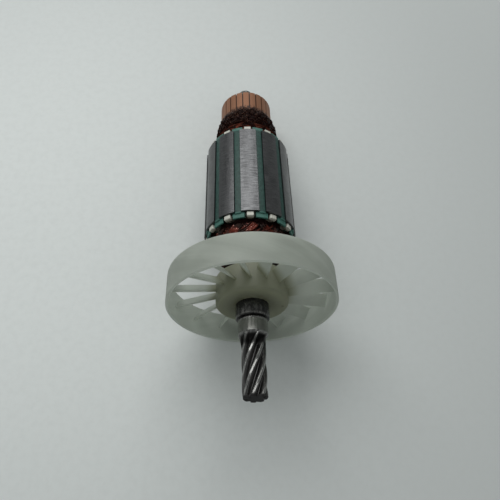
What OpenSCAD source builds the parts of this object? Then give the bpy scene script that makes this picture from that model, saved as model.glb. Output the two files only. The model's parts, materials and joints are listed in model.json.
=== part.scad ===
// Motor armature of a large power tool, lying at rest on a table.
// Every piece is drawn along +Z, measured from the pinion's tip, with local -Y uppermost, and
// at_rest() lays the whole armature down on its fan rim and commutator, pinion towards -Y.
// Millimetres, +Z up; angles named *_at run clockwise from the top as seen from the pinion.

/* [Pinion] */
// teeth cut on the shaft's end
pinion_teeth = 7; // [5:1:9]
// toothed length, tip to the plain seat
pinion_len = 33; // [26:0.5:40]
// diameter over the teeth
pinion_d = 12.8; // [11.6:0.1:14]
// depth of a tooth space
tooth_depth = 2.3; // [1.4:0.1:2.8]
// axial advance for one whole turn of the right-hand helix
pinion_lead = 84; // [60:1:120]
// angle at which one tooth space runs out against the seat
space_at = -2; // [-25:1:25]
// radius of the cutter that leaves the run-outs
cutter_r = 9; // [6:0.5:14]
// chamfer round the tip
tip_chamfer = 0.7; // [0.3:0.1:1]

/* [Shaft] */
// drive-end bearing seat
seat_d = 16; // [14.5:0.1:17]
// axial length from the teeth to the collar
seat_len = 9; // [7:0.5:12]
// width of the grinding relief beside the collar
relief_w = 1.1; // [0.8:0.1:1.6]
// distance of the fine turned groove from the relief
groove_off = 0.9; // [0.6:0.1:1.4]
// diameter under the collar and the fan, a press-fit step above the seat
fan_shaft_d = 16.4; // [16.4:0.1:16.8]
// diameter inside the core
core_shaft_d = 17; // [16.9:0.1:18]
// diameter that carries the commutator
comm_shaft_d = 13; // [11.5:0.5:14]
// commutator-end bearing seat
tail_d = 10; // [8:0.5:11]
// length of that seat
tail_len = 18.5; // [14:0.5:26]

/* [Collar] */
// outer diameter
collar_d = 18.2; // [17.6:0.1:19]
// length
collar_len = 8.5; // [6:0.5:12]

/* [Fan] */
// outer diameter of the ring
fan_d = 93; // [88:0.5:98]
// axial width of the ring
ring_w = 17; // [14:0.5:20]
// wall of the ring
ring_wall = 1.5; // [1.2:0.1:2]
// how far the ring's front rim stands ahead of the hub's face
rim_ahead = 1.3; // [0:0.1:3]
// outer diameter of the hub drum
hub_d = 39.6; // [36:0.2:44]
// number of blades
blades = 15; // [11:1:17]
// angle of the blade nearest the top
blade_at = 7.7; // [0:0.1:20]
// pitch of a blade from the axis
blade_pitch = 37; // [30:0.5:45]
// width of a blade along its pitched face
blade_chord = 7.7; // [6.5:0.1:9]
// thickness of a blade
blade_t = 1; // [0.8:0.1:1.6]
// sideways offset of a blade's middle line from the radius
blade_side = 2.8; // [2:0.1:6]
// distance of the blades' middle behind the ring's front rim
blade_mid = 10.6; // [8:0.1:12]

/* [Laminated core] */
// outer diameter
core_d = 54; // [52:0.5:58]
// stack length
core_len = 65; // [50:1:75]
// distance from the fan's ring to the stack
core_gap = 29; // [26:0.5:36]
// teeth and slots
core_slots = 12; // [12:1:12]
// neck width of a tooth
tooth_neck = 5; // [4:0.1:5.6]
// open width of a slot mouth
mouth_w = 4; // [3:0.1:5]
// thickness of the tooth tips at the slot mouth
lip_t = 1.5; // [1:0.1:2]
// radius to the bottom of a slot
slot_floor_r = 13.6; // [13:0.1:15]

/* [Insulation] */
// wall of the sleeve between shaft and core
sleeve_wall = 1.4; // [1:0.1:1.8]
// thickness of a slot liner
liner_t = 0.3; // [0.2:0.05:0.4]
// how far the slot wedges stand out of the stack
wedge_out = 3.5; // [2:0.1:5]
// thickness of an end plate
plate_t = 1.2; // [0.8:0.1:1.6]
// width of a finger over a tooth
finger_w = 4; // [3:0.1:4.6]
// axial height of a finger
finger_h = 3; // [2:0.1:4]
// radial depth of a finger
finger_deep = 2.8; // [2:0.1:5]

/* [Winding] */
// greatest radius at which the wires leave the slots
exit_r = 20.8; // [19:0.1:21]
// overhang at the drive end
drive_over = 20; // [16:0.5:22]
// how far round a bundle leans on its way over the drive end
drive_lean = 44; // [20:1:60]
// and over the commutator end, where its leads run on to the hooks
comm_lean = 36; // [20:1:60]
// height of a bundle over the furrow beside it
turn_ridge = 1.5; // [0.3:0.1:2]

/* [Commutator] */
// number of bars
comm_bars = 24; // [20:2:28]
// diameter over the bars
comm_d = 35.2; // [32:0.1:37]
// length of a bar
comm_len = 24.5; // [20:0.5:28]
// distance from the stack to the bars
comm_gap = 24; // [22:0.5:30]
// width of the slot between bars at the surface
bar_gap = 0.75; // [0.5:0.05:1]
// depth of the undercut between bars
undercut = 1; // [0.6:0.1:1.4]
// chamfer on the bars' free ends
bar_chamfer = 0.6; // [0.3:0.1:1]
// width of a hook
hook_w = 2.2; // [1.6:0.1:2.6]

/* [Hidden] */
$fn = 96;
eps = 0.02;            // overlap between fused solids
seat_r = seat_d / 2;
fan_bore_r = fan_shaft_d / 2;
crest_r = pinion_d / 2;
root_r = crest_r - tooth_depth;
s_collar = pinion_len + seat_len;
s_hub = s_collar + collar_len;
s_rim = s_hub - rim_ahead;
s_fan_back = s_rim + ring_w;
s_core = s_fan_back + core_gap;
s_core_end = s_core + core_len;
s_bars = s_core_end + comm_gap;
s_bars_end = s_bars + comm_len;
s_end = s_bars_end + tail_len;
fan_r = fan_d / 2;
ring_r = fan_r - ring_wall;
hub_r = hub_d / 2;
core_r = core_d / 2;
comm_r = comm_d / 2;
pitch_a = 360 / core_slots;
sleeve_r = core_shaft_d / 2 + sleeve_wall;
lip_r = core_r - lip_t;
ring_chamfer = 0.3;
// the slope of the table under the axis: the fan rim touches, and so does the core or the commutator
rest_core = (fan_r - core_r) / (s_core_end - s_fan_back + ring_chamfer);
rest_comm = (fan_r - comm_r) / (s_bars_end - bar_chamfer - s_fan_back + ring_chamfer);
rest_tilt = atan(min(rest_core, rest_comm));
axis_h = (fan_r + (s_fan_back - ring_chamfer) * tan(rest_tilt)) * cos(rest_tilt);
// the origin lies on the table under the middle of the armature's length
y_tip = -(s_end * cos(rest_tilt) + (tail_d / 2 - 0.6 - crest_r + tip_chamfer) * sin(rest_tilt)) / 2;

// ---- placing ----

// local -Y up, +Z along the shaft; the shaft falls away from the pinion by rest_tilt
module at_rest()
  translate([0, y_tip, axis_h])
    rotate([-90 - rest_tilt, 0, 0])
      children();

// turns a shape drawn on local +X to the angle a, clockwise from the top
module at(a) rotate([0, 0, a - 90]) children();

// a solid of revolution from [radius, station] pairs
module turned(pts) rotate_extrude() polygon(pts);

// the part of a solid of revolution within half_a either side of local +X
module sector(pts, half_a)
  rotate([0, 0, -half_a]) rotate_extrude(angle = 2 * half_a) polygon(pts);

// a plain ring between two radii and two stations
function band(r0, r1, s0, s1) = [[r0, s0], [r1, s0], [r1, s1], [r0, s1]];

// ---- shaft with its pinion ----

// radius of the tooth form at u, in pitches from a space's middle: flat root, full flank, narrow crest
function tooth_r(u) = u < 0.12 ? root_r : u > 0.42 ? seat_r
  : root_r + (crest_r - root_r) * sin(90 * (u - 0.12) / 0.3);

// the cutter leaves the tooth space along an arc that climbs to the seat
run_rise = seat_r - root_r;
run_len = sqrt(cutter_r * cutter_r - pow(cutter_r - run_rise, 2));
function floor_r(s) = s < pinion_len - run_len ? root_r
  : root_r + cutter_r - sqrt(max(0, cutter_r * cutter_r - pow(s - pinion_len + run_len, 2)));

// turned blank under the teeth: chamfered tip, plain, then a short sweep up to the seat
blank_sweep = 7;
function blank_r(s) = s < tip_chamfer ? crest_r - tip_chamfer + s
  : s < pinion_len - blank_sweep ? crest_r
  : crest_r + (seat_r - 0.08 - crest_r) * pow((s - pinion_len + blank_sweep) / blank_sweep, 2);

tooth_us = [0, 0.12, 0.19, 0.27, 0.35, 0.42, 0.425, 0.575, 0.58, 0.65, 0.73, 0.81, 0.88];
pinion_stations = concat([0, tip_chamfer / 2, tip_chamfer], [for (i = [1:15]) tip_chamfer + i * 1.6],
  [for (i = [1:10]) tip_chamfer + 24 + i * (pinion_len - tip_chamfer - 24) / 10], [pinion_len + 0.6]);

module pinion_teeth_solid() {
  n = pinion_teeth * len(tooth_us);
  m = len(pinion_stations);
  pitch = 360 / pinion_teeth;
  turn = 360 / pinion_lead;
  pts = [for (s = pinion_stations) let (z = min(s, pinion_len)) for (k = [0:n - 1])
    let (u = tooth_us[k % len(tooth_us)],
         a = (floor(k / len(tooth_us)) + u) * pitch + space_at + (z - pinion_len) * turn - 90,
         r = min(blank_r(z), max(floor_r(z), tooth_r(min(u, 1 - u)))))
    [r * cos(a), r * sin(a), s]];
  sides = [for (j = [0:m - 2], k = [0:n - 1]) let (q = (k + 1) % n)
    each [[j * n + k, (j + 1) * n + k, (j + 1) * n + q], [j * n + k, (j + 1) * n + q, j * n + q]]];
  ends = [[for (k = [0:n - 1]) k], [for (k = [n - 1:-1:0]) (m - 1) * n + k]];
  polyhedron(pts, concat(sides, ends));
}

module shaft() color([0.42, 0.42, 0.43]) at_rest() {
  s_relief = s_collar - relief_w;
  s_groove = s_relief - groove_off;
  s_step = s_fan_back + 3;
  union() {
    pinion_teeth_solid();
    turned([[0, pinion_len], [seat_r, pinion_len], [seat_r, s_groove - 0.35], [seat_r - 0.2, s_groove - 0.2],
      [seat_r - 0.2, s_groove - 0.05], [seat_r, s_groove], [seat_r, s_relief], [seat_r - 0.7, s_relief],
      [seat_r - 0.7, s_collar], [fan_bore_r, s_collar], [fan_bore_r, s_step], [core_shaft_d / 2, s_step],
      [core_shaft_d / 2, s_bars - 1], [comm_shaft_d / 2, s_bars - 1], [comm_shaft_d / 2, s_bars_end + 1],
      [tail_d / 2, s_bars_end + 1], [tail_d / 2, s_end - 0.6], [tail_d / 2 - 0.6, s_end], [0, s_end]]);
  }
}

// ---- collar and fan ----

// pressed-on sleeve with a broken front edge
module collar() color([0.1, 0.1, 0.1]) at_rest()
  turned([[fan_bore_r, s_collar], [collar_d / 2 - 0.4, s_collar], [collar_d / 2, s_collar + 0.4],
    [collar_d / 2, s_hub], [fan_bore_r, s_hub]]);

// one moulding: thin ring, pitched flat blades and a cup-shaped hub with a boss on the shaft
module fan() color([0.66, 0.69, 0.64]) at_rest() {
  boss_r = 11.5;
  cup_r = hub_r - 3.4;
  web = 3.2;
  union() {
    turned([[ring_r + 0.3, s_rim], [fan_r - 0.5, s_rim], [fan_r, s_rim + 0.5],
      [fan_r, s_fan_back - ring_chamfer], [fan_r - ring_chamfer, s_fan_back], [ring_r, s_fan_back],
      [ring_r, s_rim + 0.3]]);
    turned([[fan_bore_r, s_hub], [collar_d / 2 + 0.3, s_hub], [hub_r - 1.6, s_hub - 0.4],
      [hub_r - 0.7, s_hub], [hub_r - 0.15, s_hub + 0.7], [hub_r, s_hub + 1.6],
      [hub_r, s_fan_back], [cup_r, s_fan_back], [cup_r, s_hub + web],
      [boss_r, s_hub + web], [boss_r, s_fan_back], [fan_bore_r, s_fan_back]]);
    for (i = [0:blades - 1]) at(blade_at + i * 360 / blades)
      translate([cup_r + 0.8, blade_side, s_rim + blade_mid]) rotate([blade_pitch, 0, 0])
        translate([0, -blade_t / 2, -blade_chord / 2])
          cube([ring_r + 0.3 - cup_r - 0.8, blade_t, blade_chord]);
  }
}

// ---- laminated core and its insulation ----

// half-width of a slot at radius r, for teeth with parallel necks, taken in by t
function slot_half(r, t) = r * tan(pitch_a / 2) - tooth_neck / 2 / cos(pitch_a / 2) - t;

// outline of a slot's body about local +X, taken in by t: round floor, straight flanks, square shoulders
function slot_outline(t) = let (w0 = slot_half(slot_floor_r + 1.4, t), w1 = slot_half(lip_r - 0.6, t))
  concat([for (i = [0:8]) let (a = 90 + i * 22.5) [slot_floor_r + 1.4 + w0 * cos(a) * 0.95, w0 * sin(a)]],
    [[lip_r - 0.6, -w1], [lip_r - t, -w1 + 0.6], [lip_r - t, w1 - 0.6], [lip_r - 0.6, w1]]);

module slot_angles() for (i = [0:core_slots - 1]) at((i + 0.5) * pitch_a) children();

module lamination_stack() color([0.32, 0.32, 0.33]) at_rest()
  translate([0, 0, s_core]) linear_extrude(core_len) difference() {
    circle(core_r);
    circle(sleeve_r);
    slot_angles() polygon(slot_outline(0));
    slot_angles() translate([lip_r - 1, -mouth_w / 2]) square([lip_t + 3, mouth_w]);
  }

// moulded tube pressed on the shaft; the stack is pressed on the tube
module shaft_sleeve() color([0.2, 0.24, 0.3]) at_rest()
  turned(band(core_shaft_d / 2, sleeve_r, s_core - drive_over - 2.5, s_bars - 1.5));

// folded insulating paper in every slot, open under the wedge, flush with the end plates
module slot_liners() color([0.45, 0.62, 0.5]) at_rest()
  translate([0, 0, s_core - plate_t]) linear_extrude(core_len + 2 * plate_t) slot_angles()
    difference() {
      polygon(slot_outline(0.03));
      polygon(slot_outline(liner_t));
      translate([lip_r - 1.3, -20]) square([5, 40]);
    }

// green strip that closes a slot mouth; it stands out of the stack and spreads there to the tooth tips
wedge_base = 1.1;
crown_out = 0.8;
module slot_wedge(i) color([0.27, 0.43, 0.38]) at_rest() at((i + 0.5) * pitch_a) {
  r1 = lip_r - 0.1;
  inner = asin((slot_half(r1 - wedge_base, 0) - 0.5) / r1);
  crown = asin((mouth_w / 2 - 0.12) / core_r);
  union() {
    sector(band(r1 - wedge_base, r1, s_core - wedge_out, s_core_end + wedge_out), inner);
    sector(band(r1 - eps, core_r - 0.7, s_core - crown_out, s_core_end + crown_out), crown);
  }
}

// end plate: ring and one arm a tooth, each with a finger that keeps the end turns in
module end_plate() {
  arm_r = core_r - 1;
  union() {
    difference() {
      cylinder(r = slot_floor_r - 0.2, h = plate_t);
      translate([0, 0, -1]) cylinder(r = sleeve_r, h = plate_t + 2);
    }
    for (i = [0:core_slots - 1]) at(i * pitch_a) {
      translate([slot_floor_r - 2, -finger_w / 2, 0]) cube([arm_r - slot_floor_r + 2, finger_w, plate_t]);
      translate([arm_r - finger_deep, -finger_w / 2, 0]) cube([finger_deep, finger_w, finger_h]);
    }
  }
}

module drive_end_plate() color([0.82, 0.8, 0.73]) at_rest()
  translate([0, 0, s_core]) mirror([0, 0, 1]) end_plate();

module commutator_end_plate() color([0.82, 0.8, 0.73]) at_rest()
  translate([0, 0, s_core_end]) end_plate();

// ---- winding ----

// One end's turns as a ring. Bundles rise from the slots, lean over and cross on the way to the next.
// u runs from 0 at the core to 1 at the free end, a is the angle, form gives the ring's radius by u.
function drive_form(u) = 20.4 + 1.7 * sin(90 * min(1, u * 2.5)) - 9.4 * pow(max(0, u - 0.35) / 0.65, 2);
function comm_form(u) = 20.4 + 0.6 * sin(90 * min(1, u * 2.5)) - 0.9 * u - pow(max(0, u - 0.85) / 0.15, 2);
function bundle(a) = pow(abs(cos(core_slots / 2 * a)), 1.5);
function crossing(a, turned) = max(bundle(a + turned), bundle(a - 0.9 * turned));
function furrow(a, u, lean) = turn_ridge * min(1, u * 6) * (crossing(a - pitch_a / 2, lean * u) - 0.9);
function from_slot(a, u) = 1.8 * (0.5 + 0.5 * cos(core_slots * (a - pitch_a / 2))) * pow(1 - u, 4);

module end_turns(over, lean, form) {
  n = 96;
  m = 15;
  bore = sleeve_r + 0.15;
  rows = m + 2;
  step = 360 / n;
  pts = concat(
    [for (j = [0:m - 1], k = [0:n - 1])
      let (u = j / (m - 1), a = (k + 0.5) * step, r = form(u) + from_slot(a, u) + furrow(a, u, lean))
      [r * cos(a - 90), r * sin(a - 90), u * over]],
    [for (z = [over, 0], k = [0:n - 1]) let (a = (k + 0.5) * step - 90) [bore * cos(a), bore * sin(a), z]]);
  polyhedron(pts, [for (j = [0:rows - 1], k = [0:n - 1])
    let (q = (k + 1) % n, b = (j + 1) % rows)
    each [[j * n + k, b * n + k, b * n + q], [j * n + k, b * n + q, j * n + q]]]);
}

// the conductors in all slots, filled up to the radius r, reaching out beyond the stack at both ends
module slot_wires(r, out)
  translate([0, 0, s_core - out]) linear_extrude(core_len + 2 * out) intersection() {
    slot_angles() polygon(slot_outline(liner_t + 0.08));
    circle(r);
  }

module winding() color([0.3, 0.1, 0.06]) at_rest() {
  gap = plate_t + 0.1;
  lead_gap = 0.3;
  union() {
    translate([0, 0, s_core - gap]) mirror([0, 0, 1])
      end_turns(drive_over - gap, drive_lean, function(u) drive_form(u));
    translate([0, 0, s_core_end + gap])
      end_turns(comm_gap - lead_gap - gap, comm_lean, function(u) comm_form(u));
    slot_wires(lip_r - wedge_base - 0.2, 0);
    slot_wires(exit_r, gap + 0.6);
  }
}

// ---- commutator ----

bar_step = 360 / comm_bars;
gap_half_a = asin(bar_gap / 2 / comm_r);
hook_at_s = 4.6;       // station of the hook's root from the bar's near end
foot_r = comm_shaft_d / 2 + 4;

// bar in section: track on top, riser at the near end, dovetail foot below
bar_section = [[foot_r + 2.4, s_bars + 3], [foot_r + 2.4, s_bars + 1], [comm_r, s_bars],
  [comm_r, s_bars_end - bar_chamfer], [comm_r - bar_chamfer, s_bars_end], [foot_r + 2.4, s_bars_end],
  [foot_r + 2.4, s_bars_end - 4], [foot_r, s_bars_end - 2], [foot_r, s_bars_end - 7],
  [foot_r + 1.4, s_bars_end - 8], [foot_r + 1.4, s_bars + 8], [foot_r, s_bars + 7], [foot_r, s_bars + 1.5]];

module commutator_bar(i) color([0.62, 0.46, 0.36]) at_rest() at(i * bar_step) union() {
  sector(bar_section, bar_step / 2 - gap_half_a);
  // hook folded back over the wire end
  translate([0, hook_w / 2, 0]) rotate([90, 0, 0]) linear_extrude(hook_w)
    polygon([[comm_r - 0.8, s_bars + hook_at_s], [comm_r + 1.7, s_bars + hook_at_s - 0.6],
      [comm_r + 2.0, s_bars + hook_at_s - 2.6], [comm_r + 0.5, s_bars + hook_at_s - 4.2],
      [comm_r + 0.1, s_bars + hook_at_s - 3.6], [comm_r + 1.1, s_bars + hook_at_s - 2.2],
      [comm_r + 0.8, s_bars + hook_at_s - 1.3], [comm_r - 0.8, s_bars + hook_at_s - 1.2]]);
}

// moulded body: fills round the bars' feet and, as thin fins, the slots between them
module commutator_body() color([0.2, 0.13, 0.1]) at_rest() union() {
  rotate_extrude() difference() {
    polygon(band(comm_shaft_d / 2, foot_r + 2.4 - 0.1, s_bars + 0.8, s_bars_end - 0.8));
    polygon(bar_section);
  }
  for (i = [0:comm_bars - 1]) at((i + 0.5) * bar_step)
    sector(band(foot_r - 1, comm_r - undercut, s_bars + 1.2, s_bars_end - 1), gap_half_a * 0.98);
}

// ---- nodes ----

function two(i) = str(i < 10 ? "0" : "", i);

shaft();
collar();
fan();
shaft_sleeve();
lamination_stack();
drive_end_plate();
commutator_end_plate();
slot_liners();
winding();
commutator_body();
for (i = [1:core_slots])
  slot_wedge(i - 1);
for (i = [1:comm_bars])
  commutator_bar(i - 1);
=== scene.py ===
"""Looks for a motor armature lying on a table: materials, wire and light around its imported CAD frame."""
import json
import math

import bmesh
import bpy
import numpy as np
from mathutils import Matrix, Vector

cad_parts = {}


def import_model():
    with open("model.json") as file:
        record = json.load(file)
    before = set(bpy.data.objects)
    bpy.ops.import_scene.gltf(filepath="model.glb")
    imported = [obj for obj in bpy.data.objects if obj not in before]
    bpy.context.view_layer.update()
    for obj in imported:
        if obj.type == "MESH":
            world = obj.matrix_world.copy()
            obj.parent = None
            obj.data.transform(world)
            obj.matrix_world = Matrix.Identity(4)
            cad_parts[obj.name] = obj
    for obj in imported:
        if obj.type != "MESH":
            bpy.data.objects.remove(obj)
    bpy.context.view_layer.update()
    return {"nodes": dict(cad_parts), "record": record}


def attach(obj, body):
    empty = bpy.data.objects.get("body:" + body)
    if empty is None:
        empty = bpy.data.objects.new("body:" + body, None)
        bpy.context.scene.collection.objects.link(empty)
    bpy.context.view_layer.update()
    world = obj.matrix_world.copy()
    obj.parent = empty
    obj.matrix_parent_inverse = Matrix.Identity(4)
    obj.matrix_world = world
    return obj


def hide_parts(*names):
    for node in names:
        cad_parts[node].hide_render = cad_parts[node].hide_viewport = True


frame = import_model()
nodes = frame["nodes"]
MM = 0.001

# ---------------------------------------------------------------- the armature's own axis
# s runs along the shaft from the pinion's tip, u points away from the table, x is across.
MOUNTS = {m["name"]: m for m in frame["record"]["mounts"]}
PINION = MOUNTS["pinion_mesh"]
AXIS = -np.array(PINION["axis"], float)
AXIS /= np.linalg.norm(AXIS)
UP = np.array([0.0, -AXIS[2], AXIS[1]])
TILT = math.atan2(-AXIS[2], AXIS[1])
ANCHOR = np.array(PINION["pos_m"], float)


def cad_points(name):
    """A CAD node's points as (x, s, u) in mm, measured from the pinion's tip."""
    data = nodes[name].data
    co = np.empty(len(data.vertices) * 3)
    data.vertices.foreach_get("co", co)
    d = (co.reshape(-1, 3) - TIP) / MM
    return np.stack([d[:, 0], d @ AXIS, d @ UP], 1)


TIP = ANCHOR
TIP = ANCHOR + AXIS * cad_points("shaft")[:, 1].min() * MM


def span(name):
    """First station, last station and greatest radius of a CAD node, in mm."""
    p = cad_points(name)
    return p[:, 1].min(), p[:, 1].max(), np.hypot(p[:, 0], p[:, 2]).max()


def world(x, s, u):
    """Points in the row frame, in metres, from (x, s, u) in mm."""
    x, s, u = np.broadcast_arrays(x, s, u)
    return TIP + MM * (x[..., None] * np.array([1.0, 0, 0]) + s[..., None] * AXIS + u[..., None] * UP)


def polar(r, a, s):
    """Row-frame points from radius, angle clockwise from the top in radians, and station, in mm."""
    return world(r * np.sin(a), s, r * np.cos(a))


S_CORE, S_CORE_END, R_CORE = span("lamination_stack")
S_BARS = span("commutator_bar_01")[0]
S_RIM = span("fan")[0]
S_COLLAR, S_HUB, _ = span("collar")
R_COMM = MOUNTS["brush_track"]["dims"]["r_mm"]
R_SEAT = MOUNTS["drive_end_bearing_seat"]["dims"]["r_mm"]
S_SEAT = PINION["dims"]["length_mm"]
R_CREST = PINION["dims"]["r_mm"]
WEDGES = sorted(n for n in nodes if n.startswith("slot_wedge"))
UNROLL_RADIUS = 20.0   # mm; one radian round the axis counts as this length in the surface laid flat


# ---------------------------------------------------------------- materials
def group(name, outputs, inputs=()):
    """A new shader node group: outputs are (name, type), inputs are (name, type, default)."""
    g = bpy.data.node_groups.new(name, "ShaderNodeTree")
    for n, kind, default in inputs:
        sock = g.interface.new_socket(n, in_out="INPUT", socket_type=kind)
        sock.default_value = default
    for n, kind in outputs:
        g.interface.new_socket(n, in_out="OUTPUT", socket_type=kind)
    return g


class Net:
    """Small helper that adds and joins shader nodes in one tree."""

    def __init__(self, tree):
        self.tree = tree

    def add(self, kind, **settings):
        node = self.tree.nodes.new(kind)
        for k, v in settings.items():
            setattr(node, k, v)
        return node

    def put(self, socket, value):
        if isinstance(value, bpy.types.NodeSocket):
            self.tree.links.new(value, socket)
        elif value is not None:
            socket.default_value = value

    def times(self, a, b):
        return self.math("MULTIPLY", a, b)

    def math(self, op, a, b=None):
        n = self.add("ShaderNodeMath", operation=op)
        for i, v in enumerate((a, b)):
            self.put(n.inputs[i], v)
        return n.outputs[0]

    def ramp(self, value, lo, hi, a=0.0, b=1.0, smooth=True):
        n = self.add("ShaderNodeMapRange", interpolation_type="SMOOTHSTEP" if smooth else "LINEAR")
        for i, v in enumerate((value, lo, hi, a, b)):
            self.put(n.inputs[i], v)
        return n.outputs[0]

    def mix(self, fac, a, b):
        n = self.add("ShaderNodeMix", data_type="RGBA", blend_type="MIX", clamp_factor=True)
        self.put(n.inputs[0], fac)
        for sock, v in ((n.inputs[6], a), (n.inputs[7], b)):
            self.put(sock, (*v, 1.0) if isinstance(v, tuple) and len(v) == 3 else v)
        return n.outputs[2]

    def noise(self, vector, scale, detail=3.0, rough=0.5, distort=0.0):
        n = self.add("ShaderNodeTexNoise")
        for k, v in (("Vector", vector), ("Scale", scale), ("Detail", detail), ("Roughness", rough),
                     ("Distortion", distort)):
            self.put(n.inputs[k], v)
        return n.outputs["Fac"]

    def stretch(self, vector, scale):
        n = self.add("ShaderNodeVectorMath", operation="MULTIPLY")
        self.put(n.inputs[0], vector)
        self.put(n.inputs[1], scale)
        return n.outputs[0]

    def bump(self, height, distance, strength=1.0):
        n = self.add("ShaderNodeBump")
        for k, v in (("Height", height), ("Distance", distance), ("Strength", strength)):
            self.put(n.inputs[k], v)
        return n.outputs[0]

    def effect(self, tree, **values):
        n = self.add("ShaderNodeGroup", node_tree=tree)
        for k, v in values.items():
            self.put(n.inputs[k], v)
        return n.outputs[0]

    def grain(self, stretch, detail=3.0, rough=0.5, distort=0.0):
        return self.effect(GRAIN_GROUP, Stretch=stretch, Detail=detail, Roughness=rough,
                           Distortion=distort)

    def mottle(self, scale, detail=3.0, rough=0.5, distort=0.0):
        return self.effect(MOTTLE_GROUP, Scale=scale, Detail=detail, Roughness=rough,
                           Distortion=distort)


def axis_group():
    """Object coordinates turned onto the armature's axis: position in mm, station, radius and angle."""
    g = group("ArmatureAxis", [("Position", "NodeSocketVector"), ("Station", "NodeSocketFloat"),
                               ("Radius", "NodeSocketFloat"), ("Turn", "NodeSocketFloat"),
                               ("Unrolled", "NodeSocketVector")])
    n = Net(g)
    co = n.add("ShaderNodeTexCoord").outputs["Object"]
    sub = n.add("ShaderNodeVectorMath", operation="SUBTRACT")
    n.put(sub.inputs[0], co)
    n.put(sub.inputs[1], tuple(TIP))
    rot = n.add("ShaderNodeVectorRotate", rotation_type="X_AXIS")
    n.put(rot.inputs["Vector"], sub.outputs[0])
    n.put(rot.inputs["Angle"], TILT)
    mm = n.stretch(rot.outputs[0], (1000, 1000, 1000))
    sep = n.add("ShaderNodeSeparateXYZ")
    n.put(sep.inputs[0], mm)
    x, s, u = sep.outputs
    r = n.math("SQRT", n.math("ADD", n.times(x, x), n.times(u, u)))
    turn = n.math("ARCTAN2", x, u)
    roll = n.add("ShaderNodeCombineXYZ")
    n.put(roll.inputs[0], n.times(turn, UNROLL_RADIUS))
    n.put(roll.inputs[1], s)
    n.put(roll.inputs[2], r)
    out = n.add("NodeGroupOutput")
    for i, v in enumerate((mm, s, r, turn, roll.outputs[0])):
        n.put(out.inputs[i], v)
    return g


def noise_group(name, output, first):
    """Noise of the armature's own coordinates, as one mask.

    The first input says how fine it is: Stretch, a vector, for marks that run over the surface laid flat
    (round, along, deep), or Scale, one number, for blots that are alike in all directions.
    """
    kind = "NodeSocketVector" if first == "Stretch" else "NodeSocketFloat"
    g = group(name, [(output, "NodeSocketFloat")],
              [(first, kind, (1.0, 1.0, 1.0) if first == "Stretch" else 1.0),
               ("Detail", "NodeSocketFloat", 3.0), ("Roughness", "NodeSocketFloat", 0.5),
               ("Distortion", "NodeSocketFloat", 0.0)])
    n = Net(g)
    given = n.add("NodeGroupInput").outputs
    ax = n.add("ShaderNodeGroup", node_tree=AXIS_GROUP).outputs
    if first == "Stretch":
        where, scale = n.stretch(ax["Unrolled"], given["Stretch"]), 1.0
    else:
        where, scale = ax["Position"], given["Scale"]
    mask = n.noise(where, scale, given["Detail"], given["Roughness"], given["Distortion"])
    n.put(n.add("NodeGroupOutput").inputs[0], mask)
    return g


AXIS_GROUP = axis_group()
GRAIN_GROUP = noise_group("SurfaceGrain", "Grain", "Stretch")
MOTTLE_GROUP = noise_group("Mottle", "Mottle", "Scale")


def material(name):
    """A new material with its tree emptied, its helper, its Principled BSDF and the axis coordinates."""
    m = bpy.data.materials.new(name)
    m.use_nodes = True
    t = m.node_tree
    t.nodes.clear()
    n = Net(t)
    out = n.add("ShaderNodeOutputMaterial")
    p = n.add("ShaderNodeBsdfPrincipled")
    t.links.new(p.outputs[0], out.inputs[0])
    a = n.add("ShaderNodeGroup", node_tree=AXIS_GROUP)
    return m, n, p, a.outputs, out


def turned(n, p, amount):
    """Fine scratches round the shaft, which draw a gloss out along it and keep it narrow across."""
    around = n.add("ShaderNodeTangent", direction_type="RADIAL", axis="Y")
    n.put(p.inputs["Tangent"], around.outputs[0])
    p.inputs["Anisotropic"].default_value = amount
    p.inputs["Anisotropic Rotation"].default_value = 0.25


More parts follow.
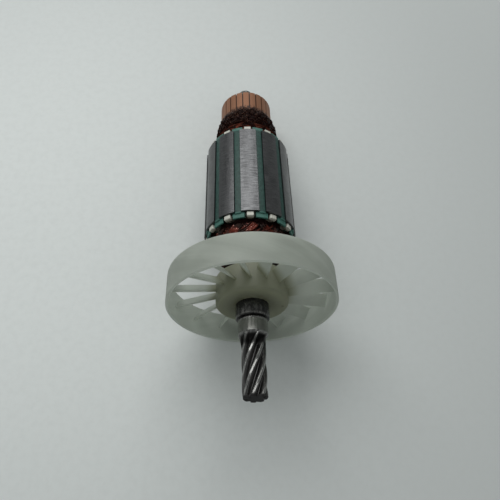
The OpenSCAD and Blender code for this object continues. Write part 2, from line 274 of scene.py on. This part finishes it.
def ground_steel():
    """Shaft: ground seats with turned streaks, grey teeth with worn crests that also carry a painted
    highlight, and painted shade in the tooth spaces, at the run-outs, in the groove by the collar and on
    the tip's end face.
    """
    m, n, p, ax, _ = material("ground_steel")
    streak = n.grain((0.2, 7, 0.3), 4)
    blot = n.mottle(0.4, 4, 0.6)
    scuff = n.grain((1.6, 0.35, 0.5), 4, 0.6, 0.6)
    in_teeth = n.ramp(ax["Station"], S_SEAT + 1.2, S_SEAT - 0.6)
    crest = n.times(in_teeth, n.ramp(ax["Radius"], R_CREST - 0.3, R_CREST - 0.05))
    # Painted shade: the tooth spaces below the crests are coloured darker.
    low = n.ramp(ax["Radius"], R_CREST - 0.9, R_CREST - 2.2)
    # Painted shade: the run-outs of the tooth spaces by the seat are coloured near black.
    run_out = n.times(n.ramp(ax["Station"], S_SEAT - 8.0, S_SEAT - 4.5),
                      n.ramp(ax["Station"], S_SEAT + 3.5, S_SEAT + 1.5))
    dark = n.times(run_out, n.ramp(ax["Radius"], R_CREST + 1.2, R_CREST - 0.2))
    seat = n.mix(streak, (0.14, 0.14, 0.132), (0.27, 0.27, 0.257))
    # Painted shade: the groove by the collar is coloured near black.
    groove_painted_shade = n.times(n.ramp(ax["Station"], S_COLLAR - 1.3, S_COLLAR - 1.0),
                     n.ramp(ax["Station"], S_COLLAR + 1.2, S_COLLAR + 0.4))
    groove_painted_shade = n.times(groove_painted_shade, n.ramp(ax["Radius"], R_SEAT + 0.3, R_SEAT - 0.02))
    tooth = n.mix(blot, (0.055, 0.055, 0.054), (0.10, 0.10, 0.098))
    col = n.mix(in_teeth, seat, tooth)
    col = n.mix(n.times(low, in_teeth), col, (0.045, 0.045, 0.044))
    # Worn crests, lightened further as a painted highlight on the lands.
    worn = n.times(crest, n.ramp(scuff, 0.35, 0.65, 0.15, 1.0))
    col = n.mix(worn, col, (0.32, 0.32, 0.31))
    # Painted shade: the tip's end face is coloured near black.
    end_face = n.ramp(ax["Station"], 1.5, 0.7)
    col = n.mix(n.times(end_face, 0.95), col, (0.012, 0.012, 0.012))
    col = n.mix(n.times(groove_painted_shade, 0.92), col, (0.006, 0.006, 0.006))
    col = n.mix(n.times(dark, 0.95), col, (0.005, 0.005, 0.005))
    n.put(p.inputs["Base Color"], col)
    n.put(p.inputs["Metallic"], n.ramp(end_face, 0.0, 1.0, 0.9, 0.2))
    rough = n.math("ADD", n.ramp(scuff, 0.3, 0.7, 0.14, 0.24), n.times(dark, 0.4))
    n.put(p.inputs["Roughness"], n.math("MAXIMUM", rough, n.times(end_face, 0.8)))
    turned(n, p, 0.8)
    n.put(p.inputs["Normal"], n.bump(streak, 0.00001, 0.3))
    return m


def blackened_steel():
    """Collar: black oxide, rubbed grey in patches and along its front edge."""
    m, n, p, ax, _ = material("blackened_steel")
    mark = n.grain((0.28, 0.28, 0.3), 5, 0.65, 0.4)
    fine = n.grain((1.6, 0.9, 0.5), 3, 0.6)
    worn = n.ramp(mark, 0.44, 0.62)
    rim = n.ramp(ax["Station"], S_COLLAR + 1.4, S_COLLAR + 0.3)
    col = n.mix(worn, (0.03, 0.03, 0.029), (0.085, 0.085, 0.08))
    col = n.mix(n.times(rim, n.ramp(fine, 0.4, 0.6)), col, (0.16, 0.16, 0.15))
    n.put(p.inputs["Base Color"], col)
    p.inputs["Metallic"].default_value = 0.85
    n.put(p.inputs["Roughness"], n.ramp(mark, 0.35, 0.65, 0.38, 0.2))
    turned(n, p, 0.6)
    n.put(p.inputs["Normal"], n.bump(fine, 0.00004, 0.5))
    return m


def milky_nylon():
    """Fan: translucent nylon with faint flow lines, painted shade that makes it darker and yellower toward
    the hub, dust near the shaft, a gate mark and a painted highlight along the front lip.
    """
    m, n, p, ax, out = material("milky_nylon")
    cloud = n.grain((0.07, 0.07, 0.07), 3, 0.5, 0.4)
    slant = n.add("ShaderNodeVectorRotate", rotation_type="Z_AXIS")
    n.put(slant.inputs["Vector"], ax["Unrolled"])
    slant.inputs["Angle"].default_value = 0.7
    flow = n.noise(n.stretch(slant.outputs[0], (0.03, 0.32, 0.05)), 1.0, 3, 0.6, 0.3)
    fine = n.mottle(1.4, 2)
    # Painted shade: darker and yellower toward the hub, in the surface colour and in the light let
    # through.
    inner_painted_shade = n.ramp(ax["Radius"], 27.0, 19.0)
    near_shaft = n.ramp(ax["Radius"], 14.0, 9.5)
    dust = n.times(near_shaft, n.ramp(n.mottle(0.4, 4), 0.35, 0.65))
    far = n.add("ShaderNodeVectorMath", operation="DISTANCE")
    n.put(far.inputs[0], ax["Position"])
    n.put(far.inputs[1], (16.5, S_HUB, -0.8))
    gate = n.ramp(far.outputs["Value"], 1.0, 0.55)
    # Painted highlight: a lighter line along the front lip.
    lip_painted_highlight = n.ramp(ax["Station"], S_RIM + 0.9, S_RIM + 0.2)
    col = n.mix(n.ramp(n.math("ADD", cloud, n.times(flow, 0.7)), 0.62, 1.08),
                (0.40, 0.425, 0.39), (0.55, 0.58, 0.54))
    col = n.mix(n.times(inner_painted_shade, 0.8), col, (0.30, 0.315, 0.235))
    col = n.mix(n.times(dust, 0.6), col, (0.13, 0.12, 0.075))
    col = n.mix(n.times(lip_painted_highlight, 0.5), col, (0.62, 0.65, 0.62))
    col = n.mix(gate, col, (0.05, 0.045, 0.03))
    n.put(p.inputs["Base Color"], col)
    n.put(p.inputs["Roughness"], n.ramp(cloud, 0.3, 0.7, 0.36, 0.5))
    n.put(p.inputs["Normal"], n.bump(fine, 0.00003, 0.4))
    p.inputs["IOR"].default_value = 1.5
    tr = n.add("ShaderNodeBsdfTranslucent")
    through = n.mix(flow, (0.72, 0.75, 0.70), (0.79, 0.82, 0.77))
    n.put(tr.inputs["Color"], n.mix(inner_painted_shade, through, (0.50, 0.51, 0.38)))
    mixer = n.add("ShaderNodeMixShader")
    mixer.inputs[0].default_value = 0.62
    n.tree.links.new(p.outputs[0], mixer.inputs[1])
    n.tree.links.new(tr.outputs[0], mixer.inputs[2])
    n.tree.links.new(mixer.outputs[0], out.inputs[0])
    return m


def core_steel():
    """Laminated stack: fine sheet edges across the axis, turned streaks and a few dull marks."""
    m, n, p, ax, _ = material("core_steel")
    sheet = n.math("FRACT", n.times(ax["Station"], 2.0))
    line = n.ramp(n.math("ABSOLUTE", n.math("SUBTRACT", sheet, 0.5)), 0.34, 0.5)
    rub = n.grain((0.22, 2.6, 0.0), 4, 0.65)
    wipe = n.grain((0.5, 0.05, 0.2), 4, 0.6)
    col = n.mix(n.ramp(rub, 0.36, 0.64), (0.055, 0.056, 0.058), (0.135, 0.137, 0.141))
    col = n.mix(n.ramp(wipe, 0.5, 0.8, 0, 0.5), col, (0.07, 0.07, 0.072))
    col = n.mix(n.times(line, 0.4), col, (0.03, 0.03, 0.03))
    n.put(p.inputs["Base Color"], col)
    p.inputs["Metallic"].default_value = 0.92
    n.put(p.inputs["Roughness"], n.math("ADD", n.ramp(wipe, 0.3, 0.7, 0.24, 0.34),
                                        n.ramp(rub, 0.3, 0.7, 0.06, 0.0)))
    n.put(p.inputs["Normal"], n.bump(rub, 0.00004, 0.5))
    return m


def dull(name, dark, light, shine=0.4):
    """Plain moulded or coated surface with soft variation."""
    m, n, p, _, _ = material(name)
    p.inputs["Specular IOR Level"].default_value = shine
    cloud = n.mottle(0.6, 5, 0.6)
    fine = n.mottle(3.6, 2)
    n.put(p.inputs["Base Color"], n.mix(n.ramp(cloud, 0.3, 0.7), dark, light))
    n.put(p.inputs["Roughness"], n.ramp(fine, 0.3, 0.7, 0.52, 0.68))
    n.put(p.inputs["Normal"], n.bump(fine, 0.00005, 0.6))
    return m


def green_moulding():
    """Slot wedges: green moulding, darker inside the stack, lighter where they leave it."""
    m, n, p, ax, _ = material("green_wedge")
    cloud = n.mottle(0.6, 5, 0.6)
    fine = n.mottle(3.6, 2)
    out = n.math("MAXIMUM", n.ramp(ax["Station"], S_CORE + 0.3, S_CORE - 0.6),
                 n.ramp(ax["Station"], S_CORE_END - 0.3, S_CORE_END + 0.6))
    # The wedges are coloured darker inside the stack than beyond its ends.
    inside = n.mix(n.ramp(cloud, 0.3, 0.7), (0.008, 0.034, 0.028), (0.021, 0.065, 0.054))
    outer_tone = n.mix(n.ramp(cloud, 0.3, 0.7), (0.030, 0.105, 0.085), (0.055, 0.155, 0.128))
    n.put(p.inputs["Base Color"], n.mix(out, inside, outer_tone))
    n.put(p.inputs["Roughness"], n.ramp(fine, 0.3, 0.7, 0.5, 0.66))
    p.inputs["Specular IOR Level"].default_value = 0.4
    n.put(p.inputs["Normal"], n.bump(fine, 0.00005, 0.6))
    return m


def bar_copper():
    """Commutator: turned copper with fine rings, tarnish, and brown varnish over the near third."""
    m, n, p, ax, _ = material("bar_copper")
    ring = n.grain((0.04, 5.0, 0.0), 3)
    tarnish = n.mottle(0.5, 4, 0.6)
    edge = n.mottle(0.7, 4, 0.65)
    reach = n.math("ADD", ax["Station"], n.ramp(edge, 0.3, 0.7, -3.0, 3.0, False))
    stain = n.ramp(reach, S_BARS + 10.2, S_BARS + 7.6)
    deep = n.ramp(ax["Radius"], R_COMM - 0.15, R_COMM - 0.5)
    col = n.mix(ring, (0.205, 0.092, 0.050), (0.285, 0.142, 0.083))
    col = n.mix(n.ramp(tarnish, 0.5, 0.8, 0, 0.5), col, (0.16, 0.10, 0.075))
    col = n.mix(stain, col, (0.045, 0.02, 0.014))
    col = n.mix(n.times(deep, 0.9), col, (0.06, 0.02, 0.015))
    n.put(p.inputs["Base Color"], col)
    n.put(p.inputs["Metallic"], n.ramp(stain, 0.0, 1.0, 0.35, 0.0))
    p.inputs["Specular IOR Level"].default_value = 0.15
    n.put(p.inputs["Roughness"], n.ramp(stain, 0.0, 1.0, 0.46, 0.3, smooth=False))
    n.put(p.inputs["Normal"], n.bump(ring, 0.00003, 0.5))
    return m


def cast_plate():
    """End plates: off-white moulding, with painted shade in brown patches on the ends that face away from
    the stack and on the parts nearer the shaft.
    """
    m, n, p, ax, _ = material("cast_plate")
    spot = n.mottle(0.5, 4, 0.6)
    away = n.math("ADD", n.ramp(ax["Station"], S_CORE - 2.6, S_CORE - 3.8),
                  n.ramp(ax["Station"], S_CORE_END + 2.6, S_CORE_END + 3.8))
    under = n.ramp(ax["Radius"], R_CORE - 1.9, R_CORE - 3.2)
    # Painted shade: patchy brown on the outward ends and low down toward the shaft.
    painted_end_shade = n.times(n.math("MAXIMUM", away, under), n.ramp(spot, 0.3, 0.6, 0.5, 0.95))
    col = n.mix(n.ramp(spot, 0.3, 0.7), (0.44, 0.44, 0.39), (0.57, 0.57, 0.51))
    col = n.mix(painted_end_shade, col, (0.16, 0.125, 0.09))
    n.put(p.inputs["Base Color"], col)
    n.put(p.inputs["Roughness"], n.ramp(spot, 0.3, 0.7, 0.4, 0.6))
    n.put(p.inputs["Normal"], n.bump(n.mottle(2.5, 2), 0.00004, 0.6))
    return m


def wire_enamel():
    """Winding wire: copper seen through red-brown enamel, with specks of bare copper made pale and bright
    as painted glints, and painted shade, near black, at the slots' mouths.
    """
    m, n, p, ax, _ = material("wire_enamel")
    patch = n.mottle(0.25, 3, 0.5)
    fine = n.mottle(1.6, 3, 0.6)
    # Painted shade: near black where the wires leave the slots' mouths.
    slot = n.math("COSINE", n.times(ax["Turn"], 12.0))
    mouth = n.math("SUBTRACT", ax["Station"], n.times(slot, 2.2))
    deep = n.ramp(mouth, S_CORE - 7.6, S_CORE - 5.6)
    # Bare copper specks, made pale and bright as painted glints.
    worn = n.ramp(fine, 0.59, 0.70)
    col = n.mix(n.ramp(patch, 0.40, 0.60), (0.009, 0.003, 0.002), (0.085, 0.016, 0.010))
    col = n.mix(worn, col, (0.75, 0.40, 0.34))
    col = n.mix(n.times(deep, 0.92), col, (0.003, 0.002, 0.002))
    n.put(p.inputs["Base Color"], col)
    n.put(p.inputs["Metallic"], n.math("MAXIMUM", n.ramp(patch, 0.38, 0.62, 0.0, 0.6),
                                       n.times(worn, 0.9)))
    n.put(p.inputs["Roughness"], n.ramp(fine, 0.35, 0.65, 0.34, 0.1))
    p.inputs["Specular IOR Level"].default_value = 0.15
    p.inputs["Specular Tint"].default_value = (1.0, 0.72, 0.62, 1.0)
    n.put(p.inputs["Normal"], n.bump(fine, 0.00008, 0.6))
    return m


def drowned_varnish():
    """Thick varnish over leads and hooks: nearly black, brown where thin, with specks of bare copper."""
    m, n, p, ax, _ = material("drowned_varnish")
    lump = n.mottle(0.55, 5, 0.6, 0.5)
    fine = n.mottle(2.4, 3, 0.6)
    thin = n.times(n.ramp(ax["Station"], S_BARS + 3.6, S_BARS + 7.0),
                   n.ramp(n.mottle(0.9, 3, 0.6), 0.42, 0.58))
    copper = n.ramp(fine, 0.60, 0.68)
    col = n.mix(n.ramp(lump, 0.45, 0.75), (0.004, 0.002, 0.002), (0.018, 0.006, 0.005))
    col = n.mix(n.times(thin, 0.85), col, (0.15, 0.085, 0.062))
    col = n.mix(copper, col, (0.30, 0.15, 0.10))
    n.put(p.inputs["Base Color"], col)
    n.put(p.inputs["Metallic"], n.times(copper, 0.85))
    n.put(p.inputs["Roughness"], n.ramp(lump, 0.35, 0.65, 0.4, 0.12))
    p.inputs["Specular IOR Level"].default_value = 0.02
    n.put(p.inputs["Normal"], n.bump(fine, 0.0003, 0.9))
    return m


def lead_enamel():
    """Wires at the commutator end: black varnish, thin over coppery enamel in patches near the stack."""
    m, n, p, ax, _ = material("lead_enamel")
    patch = n.mottle(0.2, 3, 0.55)
    fine = n.mottle(1.8, 3, 0.6)
    low = n.ramp(ax["Station"], S_CORE_END + 15, S_CORE_END + 8)
    red = n.times(n.ramp(patch, 0.43, 0.56), low)
    col = n.mix(fine, (0.002, 0.001, 0.001), (0.014, 0.006, 0.005))
    copper = n.ramp(fine, 0.62, 0.72)
    col = n.mix(copper, col, (0.26, 0.12, 0.085))
    col = n.mix(red, col, n.mix(fine, (0.075, 0.018, 0.011), (0.20, 0.055, 0.034)))
    n.put(p.inputs["Base Color"], col)
    n.put(p.inputs["Metallic"], n.math("MAXIMUM", n.times(red, 0.6), n.times(copper, 0.85)))
    n.put(p.inputs["Roughness"], n.ramp(fine, 0.3, 0.7, 0.16, 0.4))
    p.inputs["Specular IOR Level"].default_value = 0.0
    p.inputs["Specular Tint"].default_value = (1.0, 0.72, 0.62, 1.0)
    n.put(p.inputs["Normal"], n.bump(fine, 0.00008, 0.6))
    return m


MATERIALS = {
    "ground_steel": ground_steel(),
    "blackened_steel": blackened_steel(),
    "milky_nylon": milky_nylon(),
    "core_steel": core_steel(),
    "sleeve_moulding": dull("sleeve_moulding", (0.03, 0.035, 0.04), (0.06, 0.065, 0.07)),
    "end_plate_moulding": cast_plate(),
    "liner_paper": dull("liner_paper", (0.10, 0.17, 0.14), (0.16, 0.25, 0.2)),
    # The end turns under the drawn wires are near black: dark varnish, deepened as painted shade so that
    # only the wires catch light.
    "varnished_copper": dull("varnished_copper", (0.006, 0.002, 0.002), (0.02, 0.005, 0.004), 0.1),
    "phenolic": dull("phenolic", (0.03, 0.018, 0.014), (0.07, 0.04, 0.03)),
    "green_wedge": green_moulding(),
    "bar_copper": bar_copper(),
}
SLOT = {s["node"]: s["material_slot"] for s in frame["record"]["subparts"]}
for name, obj in nodes.items():
    obj.data.materials.clear()
    obj.data.materials.append(MATERIALS[SLOT[name]])


# ---------------------------------------------------------------- pieces
def piece(mesh, slot, look=None):
    """Puts a mesh in the scene as a piece that rides on the armature."""
    obj = bpy.data.objects.new(mesh.name, mesh)
    bpy.context.scene.collection.objects.link(obj)
    mesh.materials.clear()
    mesh.materials.append(look or MATERIALS[slot])
    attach(obj, "root")
    return obj


def eased(name, width, angle=38.0, segments=2, flat=True):
    """A CAD node with its sharp edges rounded by a narrow bevel and its curved faces shaded smooth.

    The copy's corners are merged, its flat faces are made whole unless flat is false, and each edge
    sharper than the angle is rounded. A width of 0 keeps the edges and only evens the shading.
    """
    mesh = nodes[name].data.copy()
    mesh.name = name + "_eased"
    bm = bmesh.new()
    bm.from_mesh(mesh)
    bmesh.ops.remove_doubles(bm, verts=bm.verts, dist=2e-6)
    if flat:
        bmesh.ops.dissolve_limit(bm, angle_limit=math.radians(0.4), verts=bm.verts, edges=bm.edges)
    bm.to_mesh(mesh)
    bm.free()
    mesh.shade_smooth()
    mesh.set_sharp_from_angle(angle=math.radians(angle))
    obj = piece(mesh, SLOT[name])
    if width:
        bevel = obj.modifiers.new("eased_edges", "BEVEL")
        bevel.width = width * MM
        bevel.segments = segments
        bevel.limit_method = "ANGLE"
        bevel.angle_limit = math.radians(angle)
        bevel.harden_normals = False
    else:
        even = obj.modifiers.new("even_shading", "WEIGHTED_NORMAL")
        even.mode = "FACE_AREA"
        even.keep_sharp = True
    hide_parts(name)
    return obj


def skin(name, points, slot, look):
    """A closed surface from an (M, N, 3) grid of points: both directions wrap round."""
    m, n = points.shape[:2]
    i, j = np.meshgrid(np.arange(m), np.arange(n), indexing="ij")
    k, l = (i + 1) % m, (j + 1) % n
    quads = np.stack([i * n + j, i * n + l, k * n + l, k * n + j], -1).reshape(-1, 4)
    mesh = bpy.data.meshes.new(name)
    mesh.from_pydata(points.reshape(-1, 3).tolist(), [], quads.tolist())
    mesh.shade_smooth()
    return piece(mesh, slot, look)


def tubes(name, paths, radius, slot, look, sides=6):
    """Round wires along (W, K, 3) paths in metres: a ring of points about each path point, ends closed.

    A ring's points are p + radius (cos a side + sin a rise): side is the path's direction crossed with
    the outward direction from the shaft, and rise is side crossed with the path's direction.
    """
    w, k = paths.shape[:2]
    t = np.gradient(paths, axis=1)
    t /= np.linalg.norm(t, axis=2, keepdims=True)
    out = paths - TIP
    out = out - (out @ AXIS)[..., None] * AXIS
    side = np.cross(t, out)
    side /= np.linalg.norm(side, axis=2, keepdims=True)
    rise = np.cross(side, t)
    a = np.arange(sides) * 2 * np.pi / sides
    spoke = np.cos(a)[:, None] * side[:, :, None] + np.sin(a)[:, None] * rise[:, :, None]
    ring = paths[:, :, None] + radius * spoke
    i, j, q = np.meshgrid(np.arange(w), np.arange(k - 1), np.arange(sides), indexing="ij")
    at = lambda row, col: (i * k + row) * sides + col % sides
    quads = np.stack([at(j, q), at(j, q + 1), at(j + 1, q + 1), at(j + 1, q)], -1).reshape(-1, 4)
    first = (np.arange(w) * k * sides)[:, None] + np.arange(sides)
    last = first + (k - 1) * sides
    faces = quads.tolist() + first[:, ::-1].tolist() + last.tolist()
    mesh = bpy.data.meshes.new(name)
    mesh.from_pydata(ring.reshape(-1, 3).tolist(), [], faces)
    mesh.shade_smooth()
    return piece(mesh, slot, look)


WINDING = cad_points("winding")
WINDING_WIRE, END_WIRE, LEAD_WIRE = 0.52 * MM, 0.48 * MM, 0.45 * MM   # drawn radii of the wires
SLOT_MOUTH = S_CORE - 1.0          # station where the wires leave the slots at the drive end


def dome(s):
    """Greatest radius of the CAD end turns at stations s, in mm, between their rings of corners."""
    r = np.hypot(WINDING[:, 0], WINDING[:, 2])
    rows = np.unique(np.round(WINDING[:, 1], 1))
    top = np.array([r[np.abs(WINDING[:, 1] - g) < 0.11].max() for g in rows])
    solid = top > 9.0   # rows whose corners reach the outside, not only the bore
    return np.interp(s, rows[solid], top[solid])


def drive_end_wires():
    """Coil heads at the drive end: a coil's wires leave one slot, arch over and enter the fifth one on.

    Along a wire t runs from 0 to 1. Its height over the stack is its top height times sin(pi t) to a
    power of 0.52 to 0.68 drawn for its coil, so it leaves and enters nearly along the axis. Its angle is
    the start plus the sweep, about 150 degrees, times 0.45 t + 0.55 (3 t squared - 2 t cubed), so it
    turns slowly at first and last. Its radius is the end turns' dome plus a lift that grows with t, so a
    coil starts low and ends over the coils wound before it. A coil's wires run side by side.
    """
    rng = np.random.default_rng(12)
    coils, each, k = 12, 12, 36
    t = 0.5 - 0.5 * np.cos(np.linspace(0, np.pi, k))
    room = SLOT_MOUTH - WINDING[:, 1].min()
    paths = []
    for i in range(coils):
        power = rng.uniform(0.52, 0.68)
        for j in range(each):
            lane = (j + 0.5) / each - 0.5
            start = math.radians(30 * i + 15 + 11 * lane + rng.uniform(-1, 1))
            sweep = math.radians(150 - 20 * lane + rng.uniform(-5, 5))
            top = room * (0.80 - 0.28 * lane * rng.uniform(0.7, 1.1))
            s = SLOT_MOUTH - top * np.sin(np.pi * t) ** power
            wander = 0.02 * np.sin(2 * np.pi * t + rng.uniform(0, 6.3))
            a = start + sweep * (0.45 * t + 0.55 * t * t * (3 - 2 * t)) + wander
            lift = -0.5 + 1.7 * t + 0.25 * rng.standard_normal()
            lift += 0.15 * np.sin(3 * np.pi * t + rng.uniform(0, 6.3))
            r = np.minimum(dome(s) + np.clip(lift, -0.8, 1.6), R_CORE - 8.2 + 0.9 * (SLOT_MOUTH - s))
            r = np.minimum(r, R_CORE - 4.3)
            paths.append(polar(r, a, s))
    return tubes("drive_end_wires", np.array(paths), WINDING_WIRE, "varnished_copper", wire_enamel())


def varnish_base(s):
    """Plain radius in mm, by station, of the varnished mass: a slow taper from the stack to the bars."""
    near = S_CORE_END + 2
    return np.interp(s, [near, near + 4, S_BARS - 6, S_BARS + 1, S_BARS + 4.5, S_BARS + 7.8],
                     [20.6, 20.7, 20.4, 19.8, 19.1, 17.75])


def varnish_form(s, a, rng):
    """Radius in mm of the varnished leads over the commutator's near end, by station and angle.

    The plain taper, plus 24 ridges that follow |cos 12 (a - drift)| to the power 1.5 over the hooks and
    leads, plus lumps: 60 products of a cosine round the shaft and one along it, with sizes drawn at
    random. The ridges and the lumps both fade toward the bars.
    """
    near = S_CORE_END + 2
    base = varnish_base(s)
    drift = np.radians(40) * np.clip((S_BARS - s) / (S_BARS - near), 0, 1)
    lead = np.abs(np.cos(12 * (a - drift))) ** 1.5
    ridge = 0.55 * (lead - 0.4) * np.clip((S_BARS + 7.0 - s) / 3, 0, 1)
    lumps = np.zeros_like(base)
    for _ in range(60):
        f, g = rng.integers(2, 46), rng.uniform(0.05, 2.2)
        size = 0.42 / (1 + 0.05 * f + 0.6 * g)
        lumps += size * np.cos(f * a + rng.uniform(0, 6.3)) * np.cos(g * s + rng.uniform(0, 6.3))
    fade = np.clip((S_BARS + 7.8 - s) / 2.5, 0.12, 1)
    return base + ridge + 0.42 * lumps * fade


def commutator_end_varnish():
    """Leads and hooks drowned in varnish: a lathe skin with lumps, closed by a plain bore under it."""
    rng = np.random.default_rng(31)
    around, along = 420, 84
    a = np.arange(around) * 2 * np.pi / around
    edge = S_BARS + 7.4 + 0.55 * np.cos(5 * a + 1) + 0.4 * np.cos(11 * a + 2) + 0.3 * np.cos(24 * a)
    near = S_CORE_END + 1.9
    v = np.linspace(0, 1, along)[:, None]
    s = near + (edge[None] - near) * v
    r = np.maximum(varnish_form(s, a[None], rng), R_COMM + 0.06)
    v2 = np.linspace(1, 0, 8)[:, None]
    s2 = near + (edge[None] - near) * v2
    r2 = np.broadcast_to(R_COMM - 1.2, s2.shape)
    pts = np.concatenate([polar(r, a[None], s), polar(r2, a[None], s2)])
    return skin("commutator_end_varnish", pts, "varnished_copper", drowned_varnish())


def commutator_end_turns():
    """Coil heads at the commutator end, half sunk in varnish: low arches from slot to slot.

    Height over the stack follows sin(pi t) to the power 0.45, and the angle grows evenly with t. The
    radius is the varnish's plus a slow wave, less 1.1 mm times (1 - the root of sin(pi t)): a wire dips
    under the varnish at both ends.
    """
    rng = np.random.default_rng(7)
    k = 30
    t = 0.5 - 0.5 * np.cos(np.linspace(0, np.pi, k))
    paths = []
    for i in range(12):
        for j in range(6):
            start = math.radians(30 * i + 15 + rng.uniform(-7, 7))
            sweep = math.radians(rng.uniform(120, 152))
            top = 3.5 + 11.0 * (j + rng.uniform(0, 1)) / 6
            s = S_CORE_END + 2.2 + top * np.sin(np.pi * t) ** 0.45
            a = start + sweep * t
            over = varnish_base(s) + rng.uniform(-0.1, 0.35)
            over = over + 0.25 * np.sin(2 * np.pi * t + rng.uniform(0, 6.3))
            r = over - 1.1 * (1 - np.sin(np.pi * t) ** 0.5)
            paths.append(polar(r, a, s))
    return tubes("commutator_end_turns", np.array(paths), END_WIRE, "varnished_copper", lead_enamel())


def commutator_leads():
    """Two leads a bar, one to each side: each leaves its hook and slants over the coil heads.

    The station changes evenly with t and the angle as t to the power 1.3. The radius starts and ends
    0.7 mm under the varnish's and rises by 0.75 to 1.1 mm times sin(pi t) to the power 0.4.
    """
    rng = np.random.default_rng(21)
    k = 18
    t = np.linspace(0, 1, k)
    paths = []
    for i in range(48):
        a0 = math.radians(7.5 * i + 3.75 + rng.uniform(-1.5, 1.5))
        turn = math.radians((1 if i % 2 else -1) * rng.uniform(22, 60))
        s = S_BARS + 4.2 + (S_CORE_END + rng.uniform(5, 13) - S_BARS - 4.2) * t
        r = varnish_base(s) - 0.7 + (0.75 + 0.35 * rng.random()) * np.sin(np.pi * t) ** 0.4
        paths.append(polar(r, a0 + turn * t ** 1.3, s))
    return tubes("commutator_leads", np.array(paths), LEAD_WIRE, "varnished_copper", lead_enamel())


eased("shaft", 0.0, 26.0, flat=False)
eased("collar", 0.45, 50.0, 3)
eased("drive_end_plate", 0.55, 40.0, 3)
eased("commutator_end_plate", 0.55, 40.0, 3)
for name in WEDGES:
    eased(name, 0.22, 40.0, 2)
drive_end_wires()
commutator_end_varnish()
commutator_end_turns()
commutator_leads()


# ---------------------------------------------------------------- camera, light, table
def aim(obj, target, roll=0.0):
    """Points obj's -Z at target, with its top upward, then rolls it."""
    q = (Vector(target) - obj.location).to_track_quat("-Z", "Y")
    obj.rotation_mode = "QUATERNION"
    obj.rotation_quaternion = q @ Matrix.Rotation(roll, 3, "Z").to_quaternion()


cam = bpy.data.objects.new("camera", bpy.data.cameras.new("camera"))
bpy.context.scene.collection.objects.link(cam)
cam.location = TIP + MM * np.array([-6.08, -22.22, 238.587])
aim(cam, TIP + MM * np.array([-0.41, 81.57, -8.693]), math.radians(1.84))
cam.data.sensor_width = 36.0
cam.data.lens = 34.2
cam.data.clip_start = 0.01
bpy.context.scene.camera = cam


def area(name, loc, target, size, power, colour=(1, 1, 1)):
    """A soft rectangular lamp of the studio, aimed at the target."""
    data = bpy.data.lights.new(name, "AREA")
    data.shape = "RECTANGLE"
    data.size, data.size_y = size
    data.energy = power
    data.color = colour
    obj = bpy.data.objects.new(name, data)
    bpy.context.scene.collection.objects.link(obj)
    obj.location = loc
    aim(obj, target)
    return obj


area("window", (-0.20, 0.80, 0.92), (0, 0, 0.03), (1.3, 0.9), 10.8, (1.0, 1.0, 0.99))
area("side_window", (-0.85, 0.15, 1.0), (0, 0, 0.03), (1.5, 1.5), 2.4)
area("front_fill", (0.70, -0.75, 0.75), (0, 0.05, 0.03), (1.2, 1.0), 1.3)

scene = bpy.context.scene
bg = bpy.data.worlds.new("studio")
scene.world = bg
bg.use_nodes = True
back = bg.node_tree.nodes["Background"]
back.inputs[0].default_value = (0.90, 0.94, 0.93, 1)
back.inputs[1].default_value = 0.31
scene.view_settings.view_transform = "Standard"
scene.view_settings.look = "None"


def table():
    """Plain pale board, one quad under the armature, with a painted pool of light: it goes softly grey
    away from the left middle.
    """
    me = bpy.data.meshes.new("table")
    e = 12.0
    me.from_pydata([(-e, -e, 0), (e, -e, 0), (e, e, 0), (-e, e, 0)], [], [(0, 1, 2, 3)])
    m = bpy.data.materials.new("table")
    m.use_nodes = True
    n = Net(m.node_tree)
    p = m.node_tree.nodes["Principled BSDF"]
    co = n.add("ShaderNodeTexCoord").outputs["Object"]
    far = n.add("ShaderNodeVectorMath", operation="DISTANCE")
    n.put(far.inputs[0], co)
    n.put(far.inputs[1], (-0.16, 0.0, 0.0))
    speck = n.noise(co, 220.0, 4, 0.6)
    # Painted light: the board is coloured lighter at the left middle and darker away from it.
    col = n.mix(n.ramp(far.outputs["Value"], 0.03, 0.42), (0.68, 0.715, 0.705), (0.465, 0.492, 0.487))
    n.put(p.inputs["Base Color"], n.mix(n.ramp(speck, 0.35, 0.75, 0, 0.12), col, (0.45, 0.47, 0.46)))
    n.put(p.inputs["Roughness"], n.ramp(speck, 0.3, 0.7, 0.7, 0.8))
    me.materials.append(m)
    obj = bpy.data.objects.new("table", me)
    scene.collection.objects.link(obj)


table()
